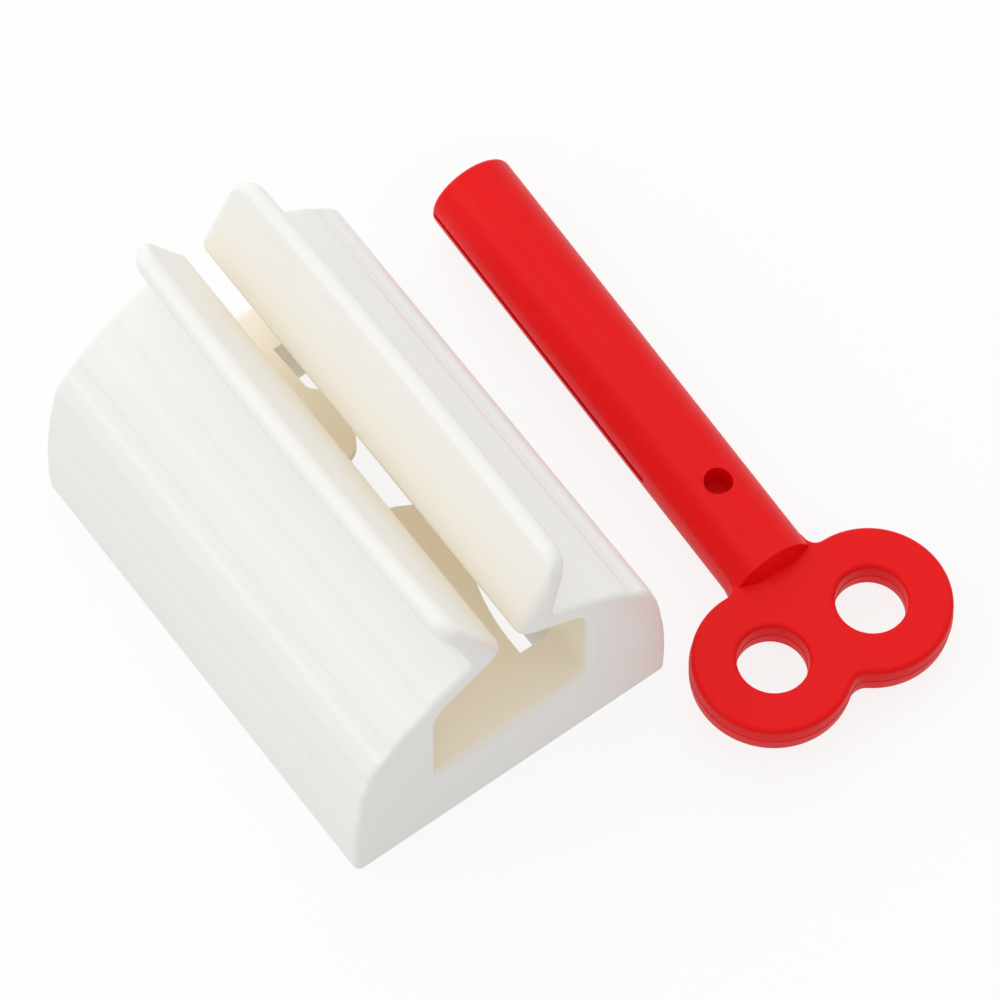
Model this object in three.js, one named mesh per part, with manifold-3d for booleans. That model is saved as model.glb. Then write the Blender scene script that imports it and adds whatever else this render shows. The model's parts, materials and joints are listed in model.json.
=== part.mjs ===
// Toothpaste tube squeezer: a one-piece holder with a slotted mouth, and the winding key that lies beside it.
// Millimetres, +Z up. X runs across the holder, Y along its chamber, and the set stands on Z = 0.
// The tube's flat end goes down between the lips and into the slit of the key, which turns in the chamber.
import * as THREE from "three";
import { mergeVertices } from "three/addons/utils/BufferGeometryUtils.js";
import Module from "manifold-3d";

// Holder: overall sizes and the outside of the section, as three arcs that run into each other
const BODY_LENGTH = 90.8;
const BASE_WIDTH = 64.6;
const FLANK_RADIUS = 113;
const FLANK_WIDEST_HEIGHT = 5.5;
const FLANK_TOP_ANGLE = 12;
const SHOULDER_RADIUS = 12;
const SHOULDER_TOP_ANGLE = 41;
const ROOF_RADIUS = 55;
const ROOF_SHELF_ANGLE = 57;
const WALL = 2.4;

// Holder: the two lips of the mouth, which lean outwards and bow apart in the middle
const THROAT_GAP = 3.6;
const NOSE_ABOVE_SHOULDER = 22.2;
const NOSE_RADIUS = 1.2;
const LIP_LENGTH = 14.4;
const LIP_THICKNESS = 4;
const LIP_ANGLE_AT_ENDS = 61;
const LIP_ANGLE_IN_MIDDLE = 57.5;
const LIP_ROOT_FILLET = 3;
const LIP_FRONT_CORNER = 5.4;
const LIP_FRONT_ROUND = 2.4;
const LIP_BACK_CORNER = 4;
const LIP_BACK_ROUND = 0.7;
const LIP_END_THICKNESS = 0.8;

// Holder: the chamber that the key turns in
const CHAMBER_WIDTH = 31;
const CHAMBER_FLOOR_HEIGHT = 16.5;
const CHAMBER_ROOF_SLOPE = 31.6;
const CHAMBER_TOP_FILLET = 7.5;
const CHAMBER_FLOOR_FILLET = 2;
const CHAMBER_WALL = 2.2;

// Holder: rounding of the edges round the two ends
const OUTSIDE_EDGE_ROUND = 1.2;
const CHAMBER_EDGE_ROUND = 1.5;
const LEAST_END_FLAT = 0.3;

// Holder: the grip grooves along each flank, placed by their distance up the outside from the base
const GROOVE_WIDTH = 3.2;
const GROOVE_DEPTH = 0.4;
const GROOVE_END_MARGIN = 0.4;
const LOW_GROOVE_UP = 22.3;
const GROOVE_PITCH = 7.75;
const PITCHED_GROOVES = 3;
const HIGH_GROOVE_UP = 48.5;
const HIGH_GROOVE_DEPTH = 0.15;

// Holder: the floor plate, cut away along both chamber walls, and the coring from below
const WINDOW_LENGTH = 71.3;
const WINDOW_SHIFT = 0.45;
const FLOOR_END_WIDTH = 18.2;
const FLOOR_PAD_WIDTH = 22;
const FLOOR_NECK_WIDTH = 10.5;
const BACK_PAD_START = 11.6;
const BACK_PAD_END = 25.1;
const BACK_PAD_TAPER = 1.8;
const FRONT_PAD_START = 0.8;
const FRONT_PAD_SLANT = 3;
const FRONT_PAD_END = -19;
const FRONT_PAD_TAPER = 10;
const PAD_CORNER = 4.4;
const WINDOW_CORNER = 1.5;
const END_RIB = 2.2;
const BAY_DRAFT = 0.8;

// Key: the shaft with the slit for the tube's end
const SHAFT_DIAMETER = 16;
const SHAFT_REACH = 91;
const TIP_ROUND = 1.1;
const SHAFT_DOME_RADIUS = 16;
const SLIT_GAP = 1.2;
const SLIT_LENGTH = 64;
const CROSS_HOLE_DIAMETER = 5.1;
const CROSS_HOLE_DEPTH = 5.1;
const CROSS_HOLE_FROM_HANDLE = 16.8;

// Key: the handle, a flat plate with two finger holes
const HANDLE_THICKNESS = 6.5;
const LOBE_DIAMETER = 28.4;
const LOBE_SPACING = 20.5;
const FINGER_HOLE_DIAMETER = 12;
const HANDLE_EDGE_ROUND = 0.9;
const HANDLE_ROOT_FILLET = 2;
const HANDLE_WAIST_FILLET = 3;
const STEM_OVERLAP = 4;

// How the key lies beside the holder: from the holder's middle to the root of the handle
const KEY_ACROSS = 54.65;
const KEY_ALONG = -45.6;
const KEY_YAW = -1.6;
const KEY_ROLL = 3;

// Finish of the two plastics
const HOLDER_COLOR = 0xf3f0e9;
const HOLDER_ROUGHNESS = 0.38;
const KEY_COLOR = 0xd81418;
const KEY_ROUGHNESS = 0.34;

// Facets on round stretches
const ARC_STEPS = 5;
const TIP_STEPS = 8;
const END_STEPS = 7;
const MIDDLE_STEPS = 8;
const SHAFT_SIDES = 48;
const HOLE_SIDES = 28;
const LOBE_SEGMENTS = 10;
const EDGE_SEGMENTS = 3;

const WELD = 1e-4;
const CORNER_SHARE = 0.48;
const OVERSHOOT = 1;
const QUARTER = Math.PI / 2;
const rad = THREE.MathUtils.degToRad;
const wasm = await Module();
wasm.setup();

// A closed geometry as a solid that can be joined and cut.
function solid(geometry) {
  const bare = geometry.index ? geometry.toNonIndexed() : geometry.clone();
  bare.deleteAttribute("normal");
  bare.deleteAttribute("uv");
  const welded = mergeVertices(bare, WELD);
  const corners = welded.index.array;
  const kept = [];
  for (let i = 0; i < corners.length; i += 3) {
    const [a, b, c] = corners.slice(i, i + 3);
    if (a !== b && b !== c && c !== a) kept.push(a, b, c);
  }
  return new wasm.Manifold(
    new wasm.Mesh({
      numProp: 3,
      vertProperties: welded.attributes.position.array,
      triVerts: new Uint32Array(kept),
    }),
  );
}

// A solid back as a mesh with a name and a plastic finish.
function moulding(name, body, color, roughness) {
  const skin = body.getMesh();
  const geometry = new THREE.BufferGeometry();
  geometry.setAttribute("position", new THREE.BufferAttribute(skin.vertProperties, skin.numProp));
  geometry.setIndex(new THREE.BufferAttribute(skin.triVerts, 1));
  geometry.computeVertexNormals();
  const material = new THREE.MeshStandardMaterial({ color, roughness, metalness: 0 });
  const mesh = new THREE.Mesh(geometry, material);
  mesh.name = name;
  return mesh;
}

// A unit step in the direction of an angle, in radians.
function heading(angle) {
  return new THREE.Vector2(Math.cos(angle), Math.sin(angle));
}

// How far a rounded edge of this radius has drawn in, at a distance from the end.
function drawnIn(radius, distance) {
  const rest = Math.max(radius - distance, 0);
  return radius - Math.sqrt(radius * radius - rest * rest);
}

// Points on an arc of the outline, by the angle that its surface faces. A hollow arc is scooped into the material.
function arcPoints(centre, radius, from, to, steps, hollow = false) {
  const reach = hollow ? -radius : radius;
  const points = [];
  for (let i = 0; i <= steps; i += 1) {
    const facing = from + ((to - from) * i) / steps;
    points.push(centre.clone().addScaledVector(heading(facing), reach));
  }
  return points;
}

// Centres of the three arcs of the outside, each tangent to the one below it.
const flankTop = rad(FLANK_TOP_ANGLE);
const shoulderTop = rad(SHOULDER_TOP_ANGLE);
const roofShelf = rad(ROOF_SHELF_ANGLE);
const flankCentre = new THREE.Vector2(
  BASE_WIDTH / 2 - Math.sqrt(FLANK_RADIUS ** 2 - FLANK_WIDEST_HEIGHT ** 2),
  FLANK_WIDEST_HEIGHT,
);
const shoulderCentre = flankCentre.clone().addScaledVector(heading(flankTop), FLANK_RADIUS - SHOULDER_RADIUS);
const roofCentre = shoulderCentre.clone().addScaledVector(heading(shoulderTop), SHOULDER_RADIUS - ROOF_RADIUS);

// The chamber's right half: its roof slopes down from the nose of the lip, and two hollow corners turn into the wall.
const nose = new THREE.Vector2(THROAT_GAP / 2 + NOSE_RADIUS, shoulderCentre.y + NOSE_ABOVE_SHOULDER);
const roofSlope = rad(CHAMBER_ROOF_SLOPE);
const roofFacing = -roofSlope - QUARTER;
const roofFoot = nose.clone().addScaledVector(heading(roofFacing), NOSE_RADIUS);
const topCorner = new THREE.Vector2(CHAMBER_WIDTH / 2 - CHAMBER_TOP_FILLET, 0);
topCorner.y = roofFoot.y - (topCorner.x - roofFoot.x) * Math.tan(roofSlope);
topCorner.y -= CHAMBER_TOP_FILLET / Math.cos(roofSlope);
const floorCorner = new THREE.Vector2(
  CHAMBER_WIDTH / 2 - CHAMBER_FLOOR_FILLET,
  CHAMBER_FLOOR_HEIGHT + CHAMBER_FLOOR_FILLET,
);

// The edge rounds on both sides of the thinnest wall shrink together where it has no room for them.
const thinnestWall = ROOF_RADIUS - CHAMBER_TOP_FILLET - topCorner.distanceTo(roofCentre);
const roundShare = Math.min(1, (thinnestWall - LEAST_END_FLAT) / (OUTSIDE_EDGE_ROUND + CHAMBER_EDGE_ROUND));

// The outside of the right half, from the base to where the roof faces the given angle, drawn in by a distance.
function outsidePoints(inset, roofEnd) {
  const start = -Math.asin(FLANK_WIDEST_HEIGHT / (FLANK_RADIUS - inset));
  return [
    ...arcPoints(flankCentre, FLANK_RADIUS - inset, start, flankTop, ARC_STEPS),
    ...arcPoints(shoulderCentre, SHOULDER_RADIUS - inset, flankTop, shoulderTop, ARC_STEPS).slice(1),
    ...arcPoints(roofCentre, ROOF_RADIUS - inset, shoulderTop, roofEnd, ARC_STEPS).slice(1),
  ];
}

// The right half of the holder's section at a place along its length, from the base corner to the chamber floor.
// Up to its shelf angle the roof is the same all along, and from there it reaches to the foot of the bowed lip.
function halfSection(y) {
  const fromEnd = BODY_LENGTH / 2 - Math.abs(y);
  const outside = drawnIn(OUTSIDE_EDGE_ROUND * roundShare, fromEnd);
  const chamber = drawnIn(CHAMBER_EDGE_ROUND * roundShare, fromEnd);
  const inner = drawnIn(y < 0 ? LIP_FRONT_ROUND : LIP_BACK_ROUND, fromEnd);
  const cornerRadius = y < 0 ? LIP_FRONT_CORNER : LIP_BACK_CORNER;
  const corner = drawnIn(cornerRadius, fromEnd);
  const cornerShare = corner / cornerRadius;

  const bow = 1 - (2 * y / BODY_LENGTH) ** 2;
  const lean = rad(THREE.MathUtils.lerp(LIP_ANGLE_AT_ENDS, LIP_ANGLE_IN_MIDDLE, bow));
  const along = heading(lean);
  const into = heading(lean - QUARTER);
  const fullTip = nose.clone().addScaledVector(along, LIP_LENGTH);
  fullTip.addScaledVector(into, LIP_THICKNESS / 2 - NOSE_RADIUS);

  const endNose = nose.clone().addScaledVector(heading(-roofSlope), inner);
  endNose.addScaledVector(heading(roofFacing), -chamber);
  const tipRadius = THREE.MathUtils.lerp(LIP_THICKNESS, LIP_END_THICKNESS, cornerShare) / 2;
  const tip = endNose.clone().addScaledVector(into, tipRadius - NOSE_RADIUS);
  const tipAcross = fullTip.x + LIP_THICKNESS / 2 - corner - tipRadius;
  tip.addScaledVector(along, (tipAcross - tip.x) / along.x);

  const backLean = THREE.MathUtils.lerp(lean, QUARTER, cornerShare);
  const backFacing = backLean - QUARTER;
  const reach = tip.clone().addScaledVector(heading(backFacing), tipRadius + LIP_ROOT_FILLET).sub(roofCentre);
  const down = reach.dot(heading(backLean));
  const rootDistance = ROOF_RADIUS - outside + LIP_ROOT_FILLET;
  const drop = down - Math.sqrt(down * down - reach.lengthSq() + rootDistance * rootDistance);
  const root = reach.addScaledVector(heading(backLean), -drop);
  const roofEnd = root.angle();
  root.add(roofCentre);

  return [
    ...outsidePoints(outside, roofShelf),
    ...arcPoints(roofCentre, ROOF_RADIUS - outside, roofShelf, roofEnd, 1).slice(1),
    ...arcPoints(root, LIP_ROOT_FILLET, roofEnd, backFacing, ARC_STEPS, true).slice(1),
    ...arcPoints(tip, tipRadius, backFacing, lean + QUARTER, TIP_STEPS),
    ...arcPoints(endNose, NOSE_RADIUS, lean + QUARTER, roofFacing + 2 * Math.PI, ARC_STEPS),
    ...arcPoints(topCorner, CHAMBER_TOP_FILLET + chamber, roofFacing, -Math.PI, ARC_STEPS, true),
    ...arcPoints(floorCorner, CHAMBER_FLOOR_FILLET + chamber, Math.PI, QUARTER, ARC_STEPS, true),
  ];
}

// The whole section: the right half and its mirror image.
function section(y) {
  const right = halfSection(y);
  const left = right.map((p) => new THREE.Vector2(-p.x, p.y)).reverse();
  return [...right, ...left];
}

// Places along the length: close together where the ends round over, wide apart between.
function stations() {
  const half = BODY_LENGTH / 2;
  const front = LIP_FRONT_CORNER - half;
  const back = half - LIP_BACK_CORNER;
  const places = [];
  for (let i = 0; i < END_STEPS; i += 1) {
    places.push(front - LIP_FRONT_CORNER * Math.cos((QUARTER * i) / END_STEPS));
  }
  for (let i = 0; i < MIDDLE_STEPS; i += 1) {
    places.push(THREE.MathUtils.lerp(front, back, i / MIDDLE_STEPS));
  }
  for (let i = 0; i <= END_STEPS; i += 1) {
    places.push(back + LIP_BACK_CORNER * Math.sin((QUARTER * i) / END_STEPS));
  }
  return places;
}

// A skin through sections with equal numbers of points, closed by a flat cap at each end.
function loft(places, sectionAt) {
  const rings = places.map(sectionAt);
  const count = rings[0].length;
  const last = (rings.length - 1) * count;
  const positions = rings.flatMap((ring, i) => ring.flatMap((p) => [p.x, places[i], p.y]));
  const faces = [];
  for (let i = 0; i < rings.length - 1; i += 1) {
    for (let j = 0; j < count; j += 1) {
      const next = (j + 1) % count;
      const a = i * count + j;
      const b = i * count + next;
      faces.push(a, a + count, b + count, a, b + count, b);
    }
  }
  THREE.ShapeUtils.triangulateShape(rings[0], []).forEach(([a, b, c]) => faces.push(a, b, c));
  THREE.ShapeUtils.triangulateShape(rings.at(-1), []).forEach(([a, b, c]) => {
    faces.push(last + a, last + c, last + b);
  });
  const geometry = new THREE.BufferGeometry();
  geometry.setAttribute("position", new THREE.Float32BufferAttribute(positions, 3));
  geometry.setIndex(faces);
  return geometry;
}

// A closed outline through corners, each given as [x, y, rounding], which takes less than half of a short side.
function roundedOutline(corners) {
  const shape = new THREE.Shape();
  corners.forEach(([x, y, rounding], i) => {
    const here = new THREE.Vector2(x, y);
    const before = new THREE.Vector2(...corners.at(i - 1)).sub(here);
    const after = new THREE.Vector2(...corners[(i + 1) % corners.length]).sub(here);
    const room = Math.min(rounding, before.length() * CORNER_SHARE, after.length() * CORNER_SHARE);
    const start = here.clone().add(before.setLength(room));
    const end = here.clone().add(after.setLength(room));
    if (i === 0) shape.moveTo(start.x, start.y);
    else shape.lineTo(start.x, start.y);
    if (room > 0) shape.quadraticCurveTo(x, y, end.x, end.y);
  });
  shape.closePath();
  return shape;
}

// A straight prism along Z from one height to another.
function upright(shape, bottom, top) {
  const geometry = new THREE.ExtrudeGeometry(shape, {
    depth: top - bottom,
    bevelEnabled: false,
    curveSegments: ARC_STEPS,
  });
  return geometry.translate(0, 0, bottom);
}

// A straight prism along Y from one place to another, from an outline in X and Z.
function lengthwise(shape, front, back) {
  const geometry = new THREE.ExtrudeGeometry(shape, {
    depth: back - front,
    bevelEnabled: false,
    curveSegments: ARC_STEPS,
  });
  return geometry.rotateX(QUARTER).translate(0, back, 0);
}

// The place and facing angle on the right flank's outside at a distance up from the base.
function upTheOutside(distance) {
  const lowest = -Math.asin(FLANK_WIDEST_HEIGHT / FLANK_RADIUS);
  const stretches = [
    [flankCentre, FLANK_RADIUS, lowest, flankTop],
    [shoulderCentre, SHOULDER_RADIUS, flankTop, shoulderTop],
    [roofCentre, ROOF_RADIUS, shoulderTop, QUARTER],
  ];
  let left = distance;
  for (const [centre, radius, from, to] of stretches) {
    const length = radius * (to - from);
    if (left <= length || to === QUARTER) {
      const facing = from + left / radius;
      return { at: centre.clone().addScaledVector(heading(facing), radius), facing };
    }
    left -= length;
  }
  return null;
}

// One grip groove as a long bar sunk into the flank, on the right side or the left.
function groove(distance, depth, side) {
  const { at, facing } = upTheOutside(distance);
  const length = BODY_LENGTH - 2 * (OUTSIDE_EDGE_ROUND + GROOVE_END_MARGIN);
  const bar = new THREE.BoxGeometry(2 * depth, length, GROOVE_WIDTH);
  bar.rotateY(-facing).translate(at.x, 0, at.y);
  return side > 0 ? bar : bar.rotateZ(Math.PI);
}

// The coring of one flank from below, between the chamber wall and the outside wall.
function sideBay(side) {
  const inner = CHAMBER_WIDTH / 2 + CHAMBER_WALL;
  const innerRoof = ROOF_RADIUS - WALL;
  const meets = Math.acos((inner - roofCentre.x) / innerRoof);
  const outline = outsidePoints(WALL, meets);
  const lowest = outline[0];
  const shape = new THREE.Shape([
    new THREE.Vector2(inner, -OVERSHOOT),
    new THREE.Vector2(lowest.x, -OVERSHOOT),
    ...outline,
  ]);
  const end = BODY_LENGTH / 2 - WALL;
  const bay = lengthwise(shape, -end, end);
  return side > 0 ? bay : bay.rotateZ(Math.PI);
}

// Where the openings beside the floor plate start and end along the length.
const windowFront = WINDOW_SHIFT - WINDOW_LENGTH / 2;
const windowBack = WINDOW_SHIFT + WINDOW_LENGTH / 2;

// The opening between the floor plate and one chamber wall: the plate has two pads with a neck between them.
function floorWindow(side) {
  const wall = CHAMBER_WIDTH / 2;
  const pad = FLOOR_PAD_WIDTH / 2;
  const neck = FLOOR_NECK_WIDTH / 2;
  const plate = FLOOR_END_WIDTH / 2;
  const corners = [
    [wall, windowFront, 0],
    [wall, windowBack, 0],
    [plate, windowBack, 0],
    [plate, BACK_PAD_END + BACK_PAD_TAPER, WINDOW_CORNER],
    [pad, BACK_PAD_END, WINDOW_CORNER],
    [pad, BACK_PAD_START, PAD_CORNER],
    [neck, BACK_PAD_START, WINDOW_CORNER],
    [neck, FRONT_PAD_START, WINDOW_CORNER],
    [pad, FRONT_PAD_START - FRONT_PAD_SLANT, WINDOW_CORNER],
    [pad, FRONT_PAD_END, PAD_CORNER],
    [plate, FRONT_PAD_END - FRONT_PAD_TAPER, PAD_CORNER],
    [plate, windowFront, 0],
  ];
  const shape = roundedOutline(corners.map(([x, y, rounding]) => [side * x, y, rounding]));
  const bottom = CHAMBER_FLOOR_HEIGHT - WALL - OVERSHOOT;
  return upright(shape, bottom, CHAMBER_FLOOR_HEIGHT + CHAMBER_FLOOR_FILLET + OVERSHOOT);
}

// The coring from below the floor plate between two places along the length, wider at the base than at the top.
function floorBay(front, back) {
  const top = CHAMBER_FLOOR_HEIGHT - WALL;
  const topHalf = CHAMBER_WIDTH / 2;
  const lowHalf = topHalf + BAY_DRAFT;
  const shape = new THREE.Shape([
    new THREE.Vector2(topHalf, top),
    new THREE.Vector2(-topHalf, top),
    new THREE.Vector2(-lowHalf, -OVERSHOOT),
    new THREE.Vector2(lowHalf, -OVERSHOOT),
  ]);
  return lengthwise(shape, front, back);
}

function tubeHolder() {
  let body = solid(loft(stations(), section));
  const pocketEnd = BODY_LENGTH / 2 - WALL;
  body = body.subtract(solid(floorBay(windowFront, windowBack)));
  body = body.subtract(solid(floorBay(windowBack + END_RIB, pocketEnd)));
  body = body.subtract(solid(floorBay(-pocketEnd, windowFront - END_RIB)));
  for (const side of [1, -1]) {
    body = body.subtract(solid(sideBay(side)));
    body = body.subtract(solid(floorWindow(side)));
    body = body.subtract(solid(groove(HIGH_GROOVE_UP, HIGH_GROOVE_DEPTH, side)));
    for (let i = 0; i < PITCHED_GROOVES; i += 1) {
      body = body.subtract(solid(groove(LOW_GROOVE_UP + i * GROOVE_PITCH, GROOVE_DEPTH, side)));
    }
  }
  return moulding("tube_holder", body, HOLDER_COLOR, HOLDER_ROUGHNESS);
}

// The handle's outline: two round lobes that run into the shaft's sides and into each other.
function handleShape() {
  const lobe = LOBE_DIAMETER / 2;
  const shaft = SHAFT_DIAMETER / 2;
  const stem = Math.sqrt(shaft ** 2 - (HANDLE_THICKNESS / 2) ** 2);
  const apart = LOBE_SPACING / 2;
  const rootX = shaft + HANDLE_ROOT_FILLET;
  const rootReach = lobe + HANDLE_ROOT_FILLET;
  const rootY = Math.sqrt(rootReach ** 2 - (rootX - apart) ** 2) - lobe;
  const waistDrop = Math.sqrt((lobe + HANDLE_WAIST_FILLET) ** 2 - apart ** 2);
  const toRoot = Math.atan2(rootY + lobe, rootX - apart);
  const toWaist = Math.atan2(-waistDrop, -apart);
  const top = rootY + STEM_OVERLAP;
  const shape = new THREE.Shape();
  shape.moveTo(stem, top);
  shape.lineTo(-stem, top);
  shape.absarc(-rootX, rootY, HANDLE_ROOT_FILLET, 0, -toRoot, true);
  shape.absarc(-apart, -lobe, lobe, Math.PI - toRoot, 3 * Math.PI - toWaist, false);
  shape.absarc(0, -lobe - waistDrop, HANDLE_WAIST_FILLET, -toWaist, Math.PI + toWaist, true);
  shape.absarc(apart, -lobe, lobe, toWaist, toRoot, false);
  shape.absarc(rootX, rootY, HANDLE_ROOT_FILLET, Math.PI + toRoot, Math.PI, true);
  for (const side of [1, -1]) {
    const hole = new THREE.Path();
    hole.absarc(side * apart, -lobe, FINGER_HOLE_DIAMETER / 2, 0, 2 * Math.PI, false);
    shape.holes.push(hole);
  }
  return shape;
}

function handlePlate() {
  const plate = new THREE.ExtrudeGeometry(handleShape(), {
    depth: HANDLE_THICKNESS - 2 * HANDLE_EDGE_ROUND,
    bevelThickness: HANDLE_EDGE_ROUND,
    bevelSize: HANDLE_EDGE_ROUND,
    bevelOffset: -HANDLE_EDGE_ROUND,
    bevelSegments: EDGE_SEGMENTS,
    curveSegments: LOBE_SEGMENTS,
  });
  return plate.translate(0, 0, HANDLE_EDGE_ROUND - HANDLE_THICKNESS / 2);
}

// The round shaft, from the shallow dome that it ends in on the handle to the rounded tip.
function shaftRod() {
  const radius = SHAFT_DIAMETER / 2;
  const domeCentre = Math.sqrt(SHAFT_DOME_RADIUS ** 2 - radius ** 2);
  const domeEdge = Math.asin(radius / SHAFT_DOME_RADIUS) - QUARTER;
  const outline = new THREE.Path();
  outline.absarc(0, domeCentre, SHAFT_DOME_RADIUS, -QUARTER, domeEdge, false);
  outline.absarc(radius - TIP_ROUND, SHAFT_REACH - TIP_ROUND, TIP_ROUND, 0, QUARTER, false);
  outline.lineTo(0, SHAFT_REACH);
  return new THREE.LatheGeometry(outline.getPoints(EDGE_SEGMENTS), SHAFT_SIDES);
}

function windingKey() {
  const body = solid(shaftRod()).add(solid(handlePlate()));
  const slit = new THREE.BoxGeometry(SHAFT_DIAMETER + 2 * OVERSHOOT, SLIT_LENGTH + OVERSHOOT, SLIT_GAP);
  slit.translate(0, SHAFT_REACH - (SLIT_LENGTH - OVERSHOOT) / 2, 0);
  const crossHole = new THREE.CylinderGeometry(
    CROSS_HOLE_DIAMETER / 2,
    CROSS_HOLE_DIAMETER / 2,
    2 * CROSS_HOLE_DEPTH,
    HOLE_SIDES,
  );
  crossHole.rotateX(QUARTER).translate(0, CROSS_HOLE_FROM_HANDLE, SHAFT_DIAMETER / 2);
  const pierced = body.subtract(solid(slit)).subtract(solid(crossHole));
  return moulding("winding_key", pierced, KEY_COLOR, KEY_ROUGHNESS);
}

const holder = tubeHolder();
const key = windingKey();
key.position.set(KEY_ACROSS, KEY_ALONG, SHAFT_DIAMETER / 2);
key.rotation.set(0, rad(KEY_ROLL), rad(KEY_YAW), "ZYX");

// The frame's origin lies on the table under the middle of the set.
const squeezer = new THREE.Group();
squeezer.name = "tube_squeezer";
squeezer.add(holder, key);
const middle = new THREE.Box3().setFromObject(squeezer, true).getCenter(new THREE.Vector3());
for (const piece of [holder, key]) {
  piece.position.x -= middle.x;
  piece.position.y -= middle.y;
}

export default squeezer;
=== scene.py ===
"""A toothpaste tube squeezer: a white moulded holder with a slotted mouth, and its red winding key."""
import json
import math

import bmesh
import bpy
from mathutils import Matrix, Vector


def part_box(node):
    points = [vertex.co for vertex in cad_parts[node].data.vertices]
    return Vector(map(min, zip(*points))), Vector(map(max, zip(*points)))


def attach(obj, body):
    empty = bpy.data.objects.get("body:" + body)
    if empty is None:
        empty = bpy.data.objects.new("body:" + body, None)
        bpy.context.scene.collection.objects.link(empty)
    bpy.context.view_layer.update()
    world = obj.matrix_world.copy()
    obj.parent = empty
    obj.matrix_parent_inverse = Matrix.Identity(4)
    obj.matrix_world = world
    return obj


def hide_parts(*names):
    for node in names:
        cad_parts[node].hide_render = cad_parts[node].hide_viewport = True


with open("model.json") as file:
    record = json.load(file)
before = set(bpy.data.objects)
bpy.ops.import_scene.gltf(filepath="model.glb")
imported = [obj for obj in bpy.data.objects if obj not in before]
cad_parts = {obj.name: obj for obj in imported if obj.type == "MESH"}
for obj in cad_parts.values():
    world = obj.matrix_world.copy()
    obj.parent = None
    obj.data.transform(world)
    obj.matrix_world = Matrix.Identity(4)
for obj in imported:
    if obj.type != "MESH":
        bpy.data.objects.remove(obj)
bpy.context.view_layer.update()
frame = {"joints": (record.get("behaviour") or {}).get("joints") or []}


# The tube holder is one hollow moulding, open at both ends, with two flared lips for a mouth.
# It is a warm white, glossy plastic, with a painted ivory glow inside the chamber for the light that comes
# through its walls.
# Its half section is drawn at many places along the length, bridged into a skin, and mirrored.
MM = 0.001
NEAR = 0.001
SHARP_ANGLE = 34
lowest_corner, highest_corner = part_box("tube_holder")
holder_place = (lowest_corner + highest_corner) / 2
holder_place.z = lowest_corner.z

# The outside, in millimetres and degrees: three arcs that run into each other, from the base to the lip.
HALF_LENGTH = 45.4
HALF_BASE = 32.295
FLANK_RADIUS = 113.0
FLANK_WIDEST_HEIGHT = 5.5
FLANK_TOP = 12.0
SHOULDER_RADIUS = 12.0
SHOULDER_TOP = 41.0
ROOF_RADIUS = 55.0
ROOF_SHELF = 57.0
WALL = 2.4
OUTSIDE_ROUND = 1.2
OUTSIDE_STEPS = 110

# Grip grooves: distance up the outside of the low and the high edge, depth, and widths of the two walls.
GROOVES = (
    (17.1, 21.9, 0.22, 1.8, 1.6),
    (26.5, 31.8, 0.28, 1.7, 1.5),
    (35.4, 39.9, 0.32, 1.3, 1.1),
    (44.0, 49.9, 0.16, 2.0, 0.9),
)
GROOVE_FADE = 1.3

# The lips lean outwards, bow apart in the middle, and thin out and round over at their ends.
THROAT = 1.8
NOSE_HEIGHT = 48.699
NOSE_RADIUS = 1.2
LIP_LENGTH = 14.385
LIP_THICKNESS = 4.0
LIP_LEAN_AT_ENDS = 61.0
LIP_LEAN_IN_MIDDLE = 57.5
LIP_ROOT_FILLET = 3.0
LIP_FRONT_CORNER = 5.4
LIP_FRONT_ROUND = 2.4
LIP_FRONT_END_LEAN = 90.0
LIP_BACK_CORNER = 4.0
LIP_BACK_ROUND = 0.7
LIP_BACK_END_LEAN = 80.0
LIP_END_THICKNESS = 0.8
LIP_END_STEPS = 14
LEAST_STEP = 0.12

# The chamber that the key turns in, the legs under its walls, and the coring from below.
CHAMBER_WALL_X = 15.5
CHAMBER_FLOOR = 16.5
CHAMBER_ROOF_SLOPE = 31.6
CHAMBER_TOP_FILLET = 7.5
CHAMBER_FLOOR_FILLET = 2.0
CHAMBER_ROUND = 1.5
LEG_X = 17.7
END_RIB = 2.2
BAY_END = 43.0
BAY_FOOT_X = 16.25
BAY_ROOF_END = 52.3
BAY_STEPS = 6

# The floor plate in plan, which narrows to a neck between a front pad and a back pad.
WINDOW_FRONT = -35.2
WINDOW_BACK = 36.1
PLATE_FRONT_X = 9.05
PLATE_END_X = 9.1
PLATE_BACK_X = 9.15
SWEEP_START = -32.5
SWEEP_RADIUS = 41.5
SWEEP_ANGLE = 18
FRONT_PAD_X = 11.228
FRONT_PAD_START = -18.753
FRONT_PAD_MIDDLE = -11.0
FRONT_PAD_END = -2.9
FRONT_PAD_ROUND = 3.0
FRONT_PAD_CORNER = 1.2
FRONT_PAD_TURN = 58
FRONT_PAD_SLANT = ((8.55, -0.7), (6.19, 0.33))
NECK_X = 5.2525
NECK_START = 1.7205
NECK_MIDDLE = 6.0
NECK_END = 10.05
NECK_FRONT_FILLET = 1.5
NECK_FRONT_TURN = 68
NECK_BACK_FILLET = 1.55
BACK_PAD_X = 11.0025
BACK_PAD_MIDDLE = 20.4
BACK_PAD_END = 24.75
BACK_PAD_CORNER = 4.2
BACK_PAD_ROUND = 0.8
TAPER_TURN = 45
TAPER_FOOT = (9.9, 26.18)
TAPER_FILLET_CENTRE = (11.031, 27.311)
UP = (0, 0, 1)


def run_to(bm, point, place):
    """Draw a straight line on from a point, and return its new end."""
    end = bm.verts.new(place)
    bm.edges.new((point, end))
    return end


def swing(bm, point, centre, axis, degrees, steps):
    """Draw an arc on from a point, turning about a centre, and return its new end."""
    angle = math.radians(degrees)
    arc = bmesh.ops.spin(bm, geom=[point], cent=centre, axis=axis, angle=angle, steps=steps)
    return next(g for g in arc["geom_last"] if isinstance(g, bmesh.types.BMVert))


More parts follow.
